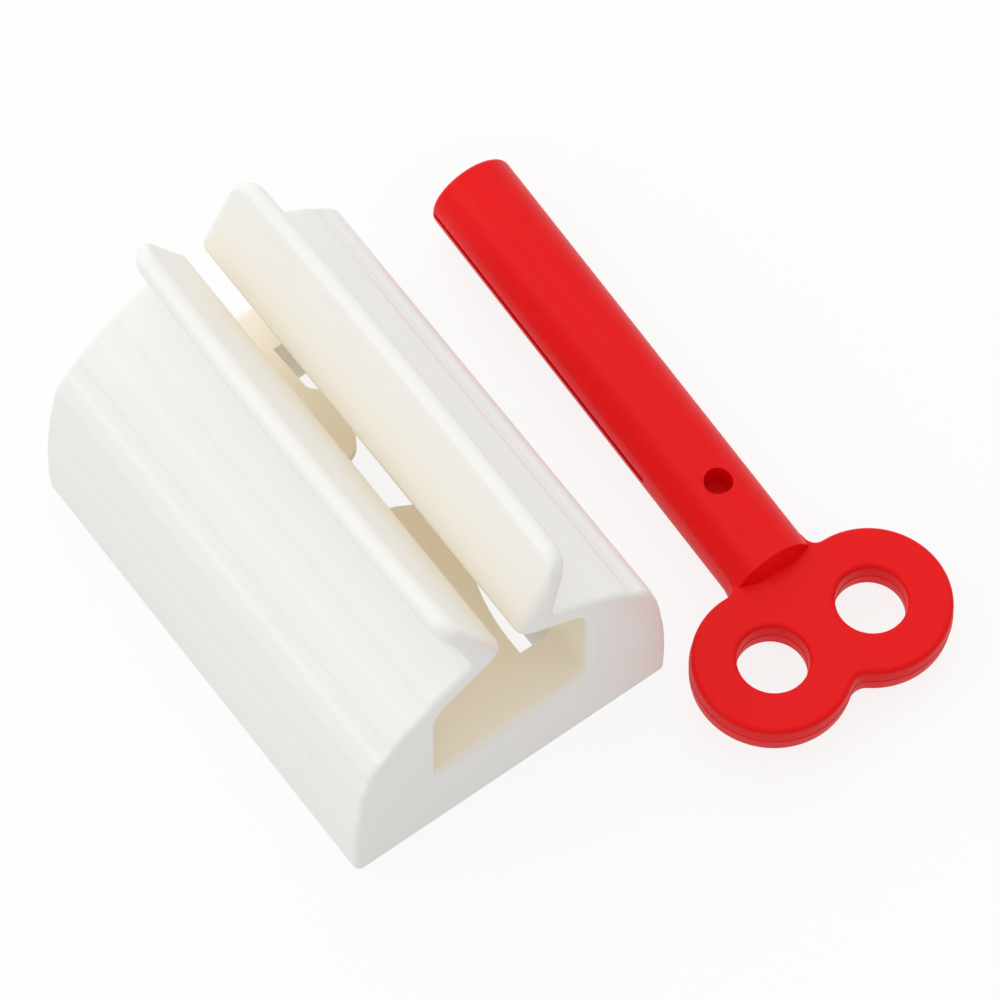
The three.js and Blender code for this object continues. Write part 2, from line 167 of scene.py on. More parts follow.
def walk(start):
    """The points of a drawn line in order, from its first point."""
    line, previous = [start], None
    while True:
        onward = [e for e in line[-1].link_edges if e is not previous]
        if not onward:
            return line
        previous = onward[0]
        line.append(previous.other_vert(line[-1]))


def everything(bm):
    """All points, edges and faces of a bmesh."""
    return bm.verts[:] + bm.edges[:] + bm.faces[:]


def heading(degrees):
    """A unit step in the direction of an angle, in the plane of the section."""
    return Vector((math.cos(math.radians(degrees)), math.sin(math.radians(degrees))))


def drawn_in(radius, distance):
    """How far a rounded edge has drawn in at a distance from the end."""
    rest = max(radius - distance, 0.0)
    return radius - math.sqrt(radius * radius - rest * rest)


def blend(start, end, share):
    """The value a share of the way from start to end."""
    return start + (end - start) * share


plan = bmesh.new()


def plan_line(point, across, along):
    """Draw the plate's edge on to a place in plan."""
    return run_to(plan, point, (across, along, 0))


def plan_arc(point, across, along, degrees, steps):
    """Draw the plate's edge on round a centre in plan."""
    return swing(plan, point, (across, along, 0), UP, degrees, steps)


plate_start = plan.verts.new((PLATE_FRONT_X, WINDOW_FRONT, 0))
edge = plan_line(plate_start, PLATE_FRONT_X, SWEEP_START)
edge = plan_arc(edge, PLATE_FRONT_X + SWEEP_RADIUS, SWEEP_START, -SWEEP_ANGLE, steps=6)
edge = plan_arc(edge, FRONT_PAD_X - FRONT_PAD_ROUND, FRONT_PAD_START, SWEEP_ANGLE, steps=2)
edge = plan_line(edge, FRONT_PAD_X, FRONT_PAD_MIDDLE)
edge = plan_line(edge, FRONT_PAD_X, FRONT_PAD_END)
edge = plan_arc(edge, FRONT_PAD_X - FRONT_PAD_CORNER, FRONT_PAD_END, FRONT_PAD_TURN, steps=4)
for across, along in FRONT_PAD_SLANT:
    edge = plan_line(edge, across, along)
edge = plan_arc(edge, NECK_X + NECK_FRONT_FILLET, NECK_START, -NECK_FRONT_TURN, steps=5)
edge = plan_line(edge, NECK_X, NECK_MIDDLE)
edge = plan_line(edge, NECK_X, NECK_END)
edge = plan_arc(edge, NECK_X + NECK_BACK_FILLET, NECK_END, -90, steps=5)
edge = plan_arc(edge, edge.co.x, edge.co.y + BACK_PAD_CORNER, 90, steps=8)
edge = plan_line(edge, BACK_PAD_X, BACK_PAD_MIDDLE)
edge = plan_line(edge, BACK_PAD_X, BACK_PAD_END)
edge = plan_arc(edge, BACK_PAD_X - BACK_PAD_ROUND, BACK_PAD_END, TAPER_TURN, steps=3)
edge = plan_line(edge, *TAPER_FOOT)
edge = plan_arc(edge, *TAPER_FILLET_CENTRE, -TAPER_TURN, steps=4)
edge = plan_line(edge, PLATE_BACK_X, WINDOW_BACK)
plate_edge = [(p.co.y, p.co.x) for p in walk(plate_start)]
plan.free()

# Centres and corners of the section that stay the same all along.
flank_reach = math.sqrt(FLANK_RADIUS ** 2 - FLANK_WIDEST_HEIGHT ** 2)
flank_centre = Vector((HALF_BASE - flank_reach, FLANK_WIDEST_HEIGHT))
shoulder_centre = flank_centre + heading(FLANK_TOP) * (FLANK_RADIUS - SHOULDER_RADIUS)
roof_centre = shoulder_centre + heading(SHOULDER_TOP) * (SHOULDER_RADIUS - ROOF_RADIUS)
bay_wall_x = flank_centre.x + math.sqrt((FLANK_RADIUS - WALL) ** 2 - FLANK_WIDEST_HEIGHT ** 2)
nose = Vector((THROAT + NOSE_RADIUS, NOSE_HEIGHT))
slope_facing = -CHAMBER_ROOF_SLOPE - 90
slope_foot = nose + heading(slope_facing) * NOSE_RADIUS
top_x = CHAMBER_WALL_X - CHAMBER_TOP_FILLET
top_drop = (top_x - slope_foot.x) * math.tan(math.radians(CHAMBER_ROOF_SLOPE))
top_drop += CHAMBER_TOP_FILLET / math.cos(math.radians(CHAMBER_ROOF_SLOPE))
top_corner = Vector((top_x, slope_foot.y - top_drop))
floor_corner = Vector((CHAMBER_WALL_X - CHAMBER_FLOOR_FILLET, CHAMBER_FLOOR + CHAMBER_FLOOR_FILLET))
ceiling = CHAMBER_FLOOR - WALL

# The arcs up the outside: centre, radius, facing angle at the start, and distance up to the start and end.
flank_low = -math.degrees(math.asin(FLANK_WIDEST_HEIGHT / FLANK_RADIUS))
flank_run = FLANK_RADIUS * math.radians(FLANK_TOP - flank_low)
shoulder_run = flank_run + SHOULDER_RADIUS * math.radians(SHOULDER_TOP - FLANK_TOP)
outside_run = shoulder_run + ROOF_RADIUS * math.radians(ROOF_SHELF - SHOULDER_TOP)
ARCS = (
    (flank_centre, FLANK_RADIUS, flank_low, 0.0, flank_run),
    (shoulder_centre, SHOULDER_RADIUS, FLANK_TOP, flank_run, shoulder_run),
    (roof_centre, ROOF_RADIUS, SHOULDER_TOP, shoulder_run, outside_run),
)


def on_outside(up, inset):
    """The point on the outside at a distance up from the base, drawn in by an inset."""
    centre, radius, facing, low, _ = next(arc for arc in ARCS if up < arc[-1] + NEAR)
    return centre + heading(facing + math.degrees((up - low) / radius)) * (radius - inset)


def groove_depth(up):
    """How deep the grip grooves are at a distance up the outside."""
    sunk = 0.0
    for low, high, depth, low_wall, high_wall in GROOVES:
        share = max(min((up - low) / low_wall, (high - up) / high_wall, 1.0), 0.0)
        sunk += depth * share * share * (3 - 2 * share)
    return sunk


def plate_half_width(y):
    """How far the floor plate reaches to the side at a place along the length."""
    for (y0, x0), (y1, x1) in zip(plate_edge, plate_edge[1:]):
        if WINDOW_FRONT < y < WINDOW_BACK and y0 <= y <= y1:
            return blend(x0, x1, (y - y0) / (y1 - y0))
    return PLATE_END_X


def half_section(bm, y):
    """Draw the right half of the section at a place along the length, from the base round to the floor.

    Returns its points in order, and where in that order the window in the floor starts and ends.
    """
    at_front = y < 0
    from_end = HALF_LENGTH - abs(y)
    outside = drawn_in(OUTSIDE_ROUND, from_end)
    chamber = drawn_in(CHAMBER_ROUND, from_end)
    inner = drawn_in(LIP_FRONT_ROUND if at_front else LIP_BACK_ROUND, from_end)
    corner_radius = LIP_FRONT_CORNER if at_front else LIP_BACK_CORNER
    corner = drawn_in(corner_radius, from_end)
    corner_share = corner / corner_radius
    plate_x = plate_half_width(y)

    def to(point, x, z):
        return run_to(bm, point, (x, y, z))

    def turn(point, centre, degrees, steps):
        return swing(bm, point, (centre.x, y, centre.y), (0, -1, 0), degrees, steps)

    # The flat base, and up the outside to the roof.
    first = bm.verts.new((0, y, 0))
    lowest = -math.degrees(math.asin(FLANK_WIDEST_HEIGHT / (FLANK_RADIUS - outside)))
    base_corner = flank_centre + heading(lowest) * (FLANK_RADIUS - outside)
    end = first
    for x in (plate_x, BAY_FOOT_X, LEG_X, bay_wall_x, base_corner.x):
        end = to(end, x, 0)
    fade = min(from_end / GROOVE_FADE, 1.0)
    for step in range(1, OUTSIDE_STEPS + 1):
        up = outside_run * step / OUTSIDE_STEPS
        at = on_outside(up, outside + groove_depth(up) * fade)
        end = to(end, at.x, at.y)

    # Where the lip's tip, its inner foot and the fillet at its root are in this section.
    lean = blend(LIP_LEAN_AT_ENDS, LIP_LEAN_IN_MIDDLE, 1 - (y / HALF_LENGTH) ** 2)
    into = heading(lean - 90)
    full_tip = nose + heading(lean) * LIP_LENGTH + into * (LIP_THICKNESS / 2 - NOSE_RADIUS)
    end_nose = nose + heading(-CHAMBER_ROOF_SLOPE) * inner - heading(slope_facing) * chamber
    tip_radius = blend(LIP_THICKNESS, LIP_END_THICKNESS, corner_share) / 2
    tip = end_nose + into * (tip_radius - NOSE_RADIUS)
    tip_x = full_tip.x + LIP_THICKNESS / 2 - corner - tip_radius
    tip += heading(lean) * ((tip_x - tip.x) / heading(lean).x)
    end_lean = LIP_FRONT_END_LEAN if at_front else LIP_BACK_END_LEAN
    back_lean = blend(lean, end_lean, corner_share)
    back_facing = back_lean - 90
    reach = tip + heading(back_facing) * (tip_radius + LIP_ROOT_FILLET) - roof_centre
    down = reach.dot(heading(back_lean))
    root_reach = ROOF_RADIUS - outside + LIP_ROOT_FILLET
    reach -= heading(back_lean) * (down - math.sqrt(down * down - reach.length_squared + root_reach ** 2))
    root = roof_centre + reach
    roof_end = math.degrees(math.atan2(reach.y, reach.x))

    # Along the roof, up the lip's back, round its tip and nose, and down into the chamber.
    end = turn(end, roof_centre, roof_end - ROOF_SHELF, steps=2)
    end = turn(end, root, back_facing - roof_end, steps=8)
    back_foot = tip + heading(back_facing) * tip_radius
    end = to(end, back_foot.x, back_foot.y)
    end = turn(end, tip, lean + 90 - back_facing, steps=16)
    inner_foot = end_nose + heading(lean + 90) * NOSE_RADIUS
    end = to(end, inner_foot.x, inner_foot.y)
    end = turn(end, end_nose, slope_facing + 360 - lean - 90, steps=10)
    top_start = top_corner - heading(slope_facing) * (CHAMBER_TOP_FILLET + chamber)
    end = to(end, top_start.x, top_start.y)
    end = turn(end, top_corner, -180 - slope_facing, steps=8)
    wall_foot = floor_corner + Vector((CHAMBER_FLOOR_FILLET + chamber, 0))
    window_start = to(end, wall_foot.x, wall_foot.y)
    end = turn(window_start, floor_corner, -90, steps=6)
    window_end = to(end, plate_x, end.co.z)
    to(window_end, 0, window_end.co.z)
    points = walk(first)
    return points, points.index(window_start), points.index(window_end)


places = {round(y, 4) for y, _ in plate_edge} | {WINDOW_FRONT - END_RIB, WINDOW_BACK + END_RIB}
places |= {-BAY_END, BAY_END, GROOVE_FADE - HALF_LENGTH, HALF_LENGTH - GROOVE_FADE}
lip_places = set()
for step in range(LIP_END_STEPS + 1):
    share = 1 - math.cos(math.radians(90 * step / LIP_END_STEPS))
    lip_places |= {LIP_FRONT_CORNER * share - HALF_LENGTH, HALF_LENGTH - LIP_BACK_CORNER * share}
places |= {y for y in lip_places if min(abs(y - other) for other in places) > LEAST_STEP}
places = sorted(places)

shell = bmesh.new()
sections = []
for y in places:
    points, window_start, window_end = half_section(shell, y)
    sections.append(points)
for before, after in zip(sections, sections[1:]):
    edges = [shell.edges.get(pair) for line in (before, after) for pair in zip(line, line[1:])]
    bmesh.ops.bridge_loops(shell, edges=edges)
for line in (sections[0], sections[-1]):
    shell.faces.new(line)

# Windows on both sides of the floor plate go down through its thickness.
window_faces = []
for i in range(len(places) - 1):
    if places[i] >= WINDOW_FRONT - NEAR and places[i + 1] <= WINDOW_BACK + NEAR:
        for k in range(window_start, window_end):
            across = shell.edges.get((sections[i][k], sections[i][k + 1]))
            window_faces += [f for f in across.link_faces if sections[i + 1][k] in f.verts]
walls = bmesh.ops.extrude_face_region(shell, geom=window_faces)["geom"]
sunk = [g for g in walls if isinstance(g, bmesh.types.BMVert)]
for point in sunk:
    point.co.z = ceiling
window_faces += [g for g in walls if isinstance(g, bmesh.types.BMFace)]
bmesh.ops.delete(shell, geom=window_faces, context="FACES")
spare = []
for point in sunk:
    if point.is_valid and PLATE_BACK_X + NEAR < point.co.x < CHAMBER_WALL_X - NEAR:
        if not WINDOW_FRONT + NEAR < point.co.y < WINDOW_BACK - NEAR:
            spare.append(point)
bmesh.ops.dissolve_verts(shell, verts=spare)
bmesh.ops.mirror(shell, geom=everything(shell), merge_dist=NEAR, axis="X")


def base_faces(low, high, front, back):
    """The faces of the flat base in a box across and along."""
    found = []
    for f in shell.faces:
        at = f.calc_center_median()
        flat = all(abs(v.co.z) < NEAR for v in f.verts)
        if flat and low < at.x < high and front < at.y < back:
            found.append(f)
    return found


def core(faces, places_up):
    """Sink faces of the base upwards in steps, each given as (height, place across of the far wall)."""
    for height, across in places_up:
        far = max(abs(v.co.x) for f in faces for v in f.verts)
        sunk = bmesh.ops.extrude_face_region(shell, geom=faces)["geom"]
        bmesh.ops.delete(shell, geom=faces, context="FACES")
        faces = [g for g in sunk if isinstance(g, bmesh.types.BMFace)]
        for point in (g for g in sunk if isinstance(g, bmesh.types.BMVert)):
            point.co.z = height
            if abs(point.co.x) > far - NEAR:
                point.co.x = math.copysign(across, point.co.x)
    return faces


# Coring from below: a bay under each flank that follows the outside, and three pockets between the legs.
inner_skin = []
for (centre, radius, start, _, _), stop in zip(ARCS, (FLANK_TOP, SHOULDER_TOP, BAY_ROOF_END)):
    for step in range(1, BAY_STEPS + 1):
        at = centre + heading(blend(start, stop, step / BAY_STEPS)) * (radius - WALL)
        inner_skin.append((at.y, at.x))
for side in (1, -1):
    low, high = sorted((side * LEG_X, side * bay_wall_x))
    core(base_faces(low, high, -BAY_END, BAY_END), inner_skin)
to_ceiling = [(ceiling, CHAMBER_WALL_X)]
for front, back in ((-BAY_END, WINDOW_FRONT - END_RIB), (WINDOW_BACK + END_RIB, BAY_END)):
    core(base_faces(-BAY_FOOT_X, BAY_FOOT_X, front, back), to_ceiling)
under_floor = core(base_faces(-BAY_FOOT_X, BAY_FOOT_X, WINDOW_FRONT, WINDOW_BACK), to_ceiling)
open_faces = [f for f in under_floor if min(abs(v.co.x) for v in f.verts) > NEAR]
bmesh.ops.delete(shell, geom=open_faces, context="FACES")
bmesh.ops.remove_doubles(shell, verts=shell.verts[:], dist=NEAR)
bmesh.ops.recalc_face_normals(shell, faces=shell.faces[:])


def as_object(bm, name):
    """A bmesh as an object in the scene."""
    mesh = bpy.data.meshes.new(name)
    bm.to_mesh(mesh)
    bm.free()
    made = bpy.data.objects.new(name, mesh)
    bpy.context.scene.collection.objects.link(made)
    return made


def finished(bm, name, place):
    """Set a drawn bmesh in its place, in metres, as an object with crisp corners and smooth curves."""
    bmesh.ops.scale(bm, vec=(MM, MM, MM), verts=bm.verts[:])
    bmesh.ops.transform(bm, matrix=place, verts=bm.verts[:])
    for e in bm.edges:
        e.smooth = e.calc_face_angle(0) < math.radians(SHARP_ANGLE)
    return as_object(bm, name)


# The skin is smooth, and the two end faces, each one large face, stay flat.
for f in shell.faces:
    f.smooth = len(f.verts) <= 4
holder = finished(shell, "holder_moulding", Matrix.Translation(holder_place))


def plastic(name, colour, deep_colour, roughness, shine, grain_scale, grain_depth, gloss_spread=0.06):
    """A moulded plastic: slow drifts of colour and gloss in the mass, and a fine grain from the mould."""
    material = bpy.data.materials.new(name)
    material.use_nodes = True
    nodes, links = material.node_tree.nodes, material.node_tree.links
    skin = nodes["Principled BSDF"]
    skin.inputs["IOR"].default_value = 1.49
    skin.inputs["Specular IOR Level"].default_value = shine
    place = nodes.new("ShaderNodeTexCoord")
    drift = nodes.new("ShaderNodeTexNoise")
    drift.inputs["Scale"].default_value = 45
    drift.inputs["Detail"].default_value = 3
    tint = nodes.new("ShaderNodeMix")
    tint.data_type = "RGBA"
    tint.inputs["A"].default_value = (*deep_colour, 1)
    tint.inputs["B"].default_value = (*colour, 1)
    gloss = nodes.new("ShaderNodeMapRange")
    gloss.inputs["To Min"].default_value = roughness - gloss_spread
    gloss.inputs["To Max"].default_value = roughness + gloss_spread
    grain = nodes.new("ShaderNodeTexNoise")
    grain.inputs["Scale"].default_value = grain_scale
    grain.inputs["Detail"].default_value = 2
    relief = nodes.new("ShaderNodeBump")
    relief.inputs["Strength"].default_value = 1
    relief.inputs["Distance"].default_value = grain_depth
    links.new(place.outputs["Object"], drift.inputs["Vector"])
    links.new(place.outputs["Object"], grain.inputs["Vector"])
    links.new(drift.outputs["Fac"], tint.inputs["Factor"])
    links.new(tint.outputs["Result"], skin.inputs["Base Color"])
    links.new(grain.outputs["Fac"], gloss.inputs["Value"])
    links.new(gloss.outputs["Result"], skin.inputs["Roughness"])
    links.new(grain.outputs["Fac"], relief.inputs["Height"])
    links.new(relief.outputs["Normal"], skin.inputs["Normal"])
    return material


holder_plastic = plastic(
    "warm_white_gloss_plastic", colour=(0.93, 0.92, 0.885), deep_colour=(0.915, 0.9, 0.86),
    roughness=0.36, shine=0.5, grain_scale=900, grain_depth=4e-6,
)

# The inside of the chamber is painted a deeper ivory: painted light for the warm glow that the plastic lets
# through its walls.
# The lips take on the same painted ivory glow on their inner sides, less and less towards their tips.
PAINTED_GLOW_COLOUR = (0.965, 0.905, 0.78, 1)
FADE_INTO_WALL = (0.2, 0.7)
FADE_INTO_ROOF = (0.1, 1.7)
FADE_INTO_LIP = (1.0, 3.2)
FADE_UP_LIP = (-1.0, 11.0)
LIP_SHARES = (0.8, 0.05)
FADE_TO_END = (-1.6, -0.4)
nodes, links = holder_plastic.node_tree.nodes, holder_plastic.node_tree.links
skin = nodes["Principled BSDF"]
outer_tint = skin.inputs["Base Color"].links[0].from_socket
place = nodes.new("ShaderNodeTexCoord")
from_middle = nodes.new("ShaderNodeVectorMath")
from_middle.operation = "SUBTRACT"
from_middle.inputs[1].default_value = holder_place
to_side = nodes.new("ShaderNodeVectorMath")
to_side.operation = "ABSOLUTE"
apart = nodes.new("ShaderNodeSeparateXYZ")
links.new(place.outputs["Object"], from_middle.inputs[0])
links.new(from_middle.outputs["Vector"], to_side.inputs[0])
links.new(to_side.outputs["Vector"], apart.inputs["Vector"])


def along_facing(direction):
    """How far the shaded point lies along a direction in the section, to whichever side it is."""
    distance = nodes.new("ShaderNodeVectorMath")
    distance.operation = "DOT_PRODUCT"
    distance.inputs[1].default_value = (direction.x, 0, direction.y)
    links.new(to_side.outputs["Vector"], distance.inputs[0])
    return distance.outputs["Value"]


def falling(distance, edge_at, fade, shares=(1.0, 0.0)):
    """A share that falls smoothly from one value to another as a distance passes an edge in millimetres."""
    share = nodes.new("ShaderNodeMapRange")
    share.interpolation_type = "SMOOTHSTEP"
    share.inputs["From Min"].default_value = (edge_at + fade[0]) * MM
    share.inputs["From Max"].default_value = (edge_at + fade[1]) * MM
    share.inputs["To Min"].default_value = shares[0]
    share.inputs["To Max"].default_value = shares[1]
    links.new(distance, share.inputs["Value"])
    return share.outputs["Result"]


def combined(operation, first_share, second_share):
    """Two shares multiplied, or the greater of them."""
    result = nodes.new("ShaderNodeMath")
    result.operation = operation
    links.new(first_share, result.inputs[0])
    links.new(second_share, result.inputs[1])
    return result.outputs["Value"]


roof_at = -slope_foot.dot(heading(slope_facing))
lip_facing = heading(LIP_LEAN_AT_ENDS - 90)
lip_at = nose.dot(lip_facing) - NOSE_RADIUS
glow_in_chamber = combined(
    "MULTIPLY",
    falling(apart.outputs["X"], CHAMBER_WALL_X, FADE_INTO_WALL),
    falling(along_facing(-heading(slope_facing)), roof_at, FADE_INTO_ROOF),
)
glow_on_lip = combined(
    "MULTIPLY",
    falling(along_facing(lip_facing), lip_at, FADE_INTO_LIP),
    falling(apart.outputs["Z"], NOSE_HEIGHT, FADE_UP_LIP, LIP_SHARES),
)
painted_glow_share = combined(
    "MULTIPLY",
    combined("MAXIMUM", glow_in_chamber, glow_on_lip),
    falling(apart.outputs["Y"], HALF_LENGTH, FADE_TO_END),
)
# The painted glow is mixed into the base colour by its share inside the chamber and on the lips.
painted_glow = nodes.new("ShaderNodeMix")
painted_glow.data_type = "RGBA"
painted_glow.inputs["B"].default_value = PAINTED_GLOW_COLOUR
links.new(painted_glow_share, painted_glow.inputs["Factor"])
links.new(outer_tint, painted_glow.inputs["A"])
links.new(painted_glow.outputs["Result"], skin.inputs["Base Color"])
holder.data.materials.append(holder_plastic)
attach(holder, "holder")
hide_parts("tube_holder")


# The winding key is one solid red moulding that lies on the table beside the holder.
# Its round shaft is slit to take a tube's end, and ends in a shallow dome on a handle with two finger holes.
# The mould parts at the handle's mid-plane, which leaves draft both ways and a fine ridge where it closed.
winding = next(joint for joint in frame["joints"] if joint["name"] == "key_turn")
key_place = Vector(winding["pos_m"])
key_yaw = math.atan2(-winding["axis"][0], winding["axis"][1])
KEY_ROLL = 3.0
SHAFT_RADIUS = 8.0
SHAFT_REACH = 90.99
SHAFT_SIDES = 96
DOME_RADIUS = 16.0
DOME_ANGLE = 30
TIP_ROUND = 1.1
SLIT_GAP = 1.2
SLIT_START = 27.0
CROSS_HOLE_RADIUS = 2.55
CROSS_HOLE_DEPTH = 5.1
CROSS_HOLE_UP = 16.8
LOBE_RADIUS = 14.15
LOBE_X = 10.25
HANDLE_HALF = 3.25
HANDLE_ROUND = 0.9
DRAFT = 0.1
PARTING_RIDGE = 0.09
FINGER_RADIUS = 6.0
ROOT_FILLET = 2.0
STEM_OVERLAP = 4.0
WAIST_FILLET = 3.0
DOME_FILLET = 2.0
DOME_FILLET_AT_ENDS = 0.15
DOME_FILLET_SPREAD = 27.0
DOME_FILLET_STEPS = 24
FILLET_SINK = 0.02
FILLET_BACKING = 0.8
CUT_OVERRUN = 1.0
SLIVER = 0.003
LEVEL_NORMAL = 0.99999


def block(bm, name):
    """A closed bmesh as an object in millimetres, to be joined or cut."""
    bmesh.ops.remove_doubles(bm, verts=bm.verts[:], dist=NEAR)
    bmesh.ops.recalc_face_normals(bm, faces=bm.faces[:])
    return as_object(bm, name)


def work(body, tool, operation):
    """Join a block to a body, or cut the body with it, and clear the block away."""
    step = body.modifiers.new(operation, "BOOLEAN")
    step.operation = operation
    step.solver = "EXACT"
    step.object = tool
    worked = body.evaluated_get(bpy.context.evaluated_depsgraph_get())
    made = bpy.data.meshes.new_from_object(worked)
    body.modifiers.clear()
    body.data = made
    bpy.data.objects.remove(tool)


def revolve(bm, axis, steps):
    """Turn a drawn outline once round an axis through the origin."""
    outline = bm.verts[:] + bm.edges[:]
    bmesh.ops.spin(bm, geom=outline, cent=(0, 0, 0), axis=axis, angle=math.tau, steps=steps, use_merge=True)


rod = bmesh.new()
dome_centre = math.sqrt(DOME_RADIUS ** 2 - SHAFT_RADIUS ** 2)
tip_start = SHAFT_REACH - TIP_ROUND
end = rod.verts.new((0, dome_centre - DOME_RADIUS, 0))
end = swing(rod, end, (0, dome_centre, 0), UP, DOME_ANGLE, steps=6)
end = run_to(rod, end, (SHAFT_RADIUS, tip_start, 0))
end = swing(rod, end, (SHAFT_RADIUS - TIP_ROUND, tip_start, 0), UP, 90, steps=6)
run_to(rod, end, (0, SHAFT_REACH, 0))
revolve(rod, axis=(0, 1, 0), steps=SHAFT_SIDES)
shaft = block(rod, "shaft")

# The handle: half its outline is mirrored, raised with draft to half the thickness, rounded and mirrored.
plate = bmesh.new()
root_x = SHAFT_RADIUS + ROOT_FILLET
root_y = math.sqrt((LOBE_RADIUS + ROOT_FILLET) ** 2 - (root_x - LOBE_X) ** 2) - LOBE_RADIUS
stem_x = math.sqrt(SHAFT_RADIUS ** 2 - HANDLE_HALF ** 2)
stem_y = root_y + STEM_OVERLAP
waist_drop = math.sqrt((LOBE_RADIUS + WAIST_FILLET) ** 2 - LOBE_X ** 2)
waist_y = -LOBE_RADIUS - waist_drop
to_root = math.degrees(math.atan2(root_y + LOBE_RADIUS, root_x - LOBE_X))
to_waist = math.degrees(math.atan2(-waist_drop, -LOBE_X))
end = plate.verts.new((0, waist_y + WAIST_FILLET, 0))
end = swing(plate, end, (0, waist_y, 0), UP, to_waist + 90, steps=8)
end = swing(plate, end, (LOBE_X, -LOBE_RADIUS, 0), UP, to_root - to_waist, steps=56)
end = swing(plate, end, (root_x, root_y, 0), UP, -to_root, steps=8)
end = run_to(plate, end, (stem_x, stem_y, 0))
run_to(plate, end, (0, stem_y, 0))
bmesh.ops.mirror(plate, geom=everything(plate), merge_dist=NEAR, axis="X")
face = bmesh.ops.contextual_create(plate, geom=plate.edges[:])["faces"][0]
if face.normal.z < 0:
    bmesh.ops.reverse_faces(plate, faces=[face])
for inwards, upwards in ((PARTING_RIDGE, PARTING_RIDGE), (DRAFT, HANDLE_HALF - PARTING_RIDGE)):
    bmesh.ops.inset_region(
        plate, faces=[face], thickness=inwards, depth=upwards, use_even_offset=True, use_boundary=True,
    )
bmesh.ops.bevel(
    plate, geom=face.edges[:], offset=HANDLE_ROUND, segments=5, profile=0.5, affect="EDGES", material=-1,
)
bmesh.ops.mirror(plate, geom=everything(plate), merge_dist=NEAR, axis="Z")
work(shaft, block(plate, "handle"), "UNION")


# The fillet between the dome and the handle's faces is fullest in the middle.
# It turns about the dome's upright axis, and its edges sink just under both surfaces.
def from_dome_axis(outwards, distance, height):
    """The place at a distance from the dome's upright axis in a direction, and at a height."""
    return outwards * distance + Vector((0, dome_centre, height))


cove = bmesh.new()
ball = DOME_RADIUS - FILLET_SINK
top = HANDLE_HALF - FILLET_SINK
rings = []
for step in range(DOME_FILLET_STEPS + 1):
    angle = blend(-DOME_FILLET_SPREAD, DOME_FILLET_SPREAD, step / DOME_FILLET_STEPS)
    fullness = math.cos(math.radians(90 * angle / DOME_FILLET_SPREAD)) ** 2
    radius = blend(DOME_FILLET_AT_ENDS, DOME_FILLET, fullness)
    outwards = heading(angle - 90).to_3d()
    reach = math.sqrt((ball + radius) ** 2 - (top + radius) ** 2)
    turned = math.degrees(math.atan2(top + radius, reach)) - 90
    arc_centre = from_dome_axis(outwards, reach, top + radius)
    start = cove.verts.new(from_dome_axis(outwards, reach, top))
    end = swing(cove, start, arc_centre, outwards.cross(Vector(UP)), turned, steps=6)
    end = run_to(cove, end, end.co - outwards * FILLET_BACKING)
    end = run_to(cove, end, from_dome_axis(outwards, ball - 2 * FILLET_BACKING, top - FILLET_BACKING))
    end = run_to(cove, end, from_dome_axis(outwards, reach, top - FILLET_BACKING))
    rings.append(walk(start))
    cove.edges.new((end, start))
for before, after in zip(rings, rings[1:]):
    edges = [cove.edges.get(pair) for ring in (before, after) for pair in zip(ring, ring[1:] + ring[:1])]
    bmesh.ops.bridge_loops(cove, edges=edges)
for ring in (rings[0], rings[-1]):
    cove.faces.new(ring)
bmesh.ops.mirror(cove, geom=everything(cove), merge_dist=NEAR, axis="Z")
work(shaft, block(cove, "dome_fillet"), "UNION")

# The cuts: two finger holes, the slit and the cross hole.
rim_radius = FINGER_RADIUS + PARTING_RIDGE + DRAFT + HANDLE_ROUND
for side in (1, -1):
    pin = bmesh.new()
    end = pin.verts.new((0, 0, HANDLE_HALF + CUT_OVERRUN))
    end = run_to(pin, end, (rim_radius, 0, HANDLE_HALF + CUT_OVERRUN))
    end = run_to(pin, end, (rim_radius, 0, HANDLE_HALF))
    end = swing(pin, end, (rim_radius, 0, HANDLE_HALF - HANDLE_ROUND), (0, -1, 0), 90, steps=6)
    end = run_to(pin, end, (FINGER_RADIUS + PARTING_RIDGE, 0, PARTING_RIDGE))
    run_to(pin, end, (FINGER_RADIUS, 0, 0))
    bmesh.ops.mirror(pin, geom=everything(pin), merge_dist=NEAR, axis="Z")
    revolve(pin, axis=UP, steps=72)
    bmesh.ops.translate(pin, vec=(side * LOBE_X, -LOBE_RADIUS, 0), verts=pin.verts[:])
    work(shaft, block(pin, "finger_pin"), "DIFFERENCE")

slit = bmesh.new()
slit_end = SHAFT_REACH + CUT_OVERRUN
slit_width = 2 * (SHAFT_RADIUS + 2 * CUT_OVERRUN)
bmesh.ops.create_cube(slit, size=1)
bmesh.ops.scale(slit, vec=(slit_width, slit_end - SLIT_START, SLIT_GAP), verts=slit.verts[:])
bmesh.ops.translate(slit, vec=(0, (slit_end + SLIT_START) / 2, 0), verts=slit.verts[:])
work(shaft, block(slit, "slit_blade"), "DIFFERENCE")

drill = bmesh.new()
bmesh.ops.create_cone(
    drill, cap_ends=True, segments=48, depth=2 * CROSS_HOLE_DEPTH,
    radius1=CROSS_HOLE_RADIUS, radius2=CROSS_HOLE_RADIUS,
)
bmesh.ops.translate(drill, vec=(0, CROSS_HOLE_UP, SHAFT_RADIUS), verts=drill.verts[:])
work(shaft, block(drill, "cross_pin"), "DIFFERENCE")

solid_key = bmesh.new()
solid_key.from_mesh(shaft.data)
bpy.data.objects.remove(shaft)
bmesh.ops.dissolve_degenerate(solid_key, dist=SLIVER, edges=solid_key.edges[:])
for f in solid_key.faces:
    f.smooth = abs(f.normal.z) < LEVEL_NORMAL
lie = Matrix.Rotation(key_yaw, 4, "Z") @ Matrix.Rotation(math.radians(KEY_ROLL), 4, "Y")
key = finished(solid_key, "key_moulding", Matrix.Translation(key_place) @ lie)
key.data.materials.append(plastic(
    "red_satin_plastic", colour=(0.85, 0.003, 0.005), deep_colour=(0.8, 0.002, 0.004),
    roughness=0.36, shine=0.16, grain_scale=2400, grain_depth=4e-5,
))
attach(key, "key")
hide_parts("winding_key")


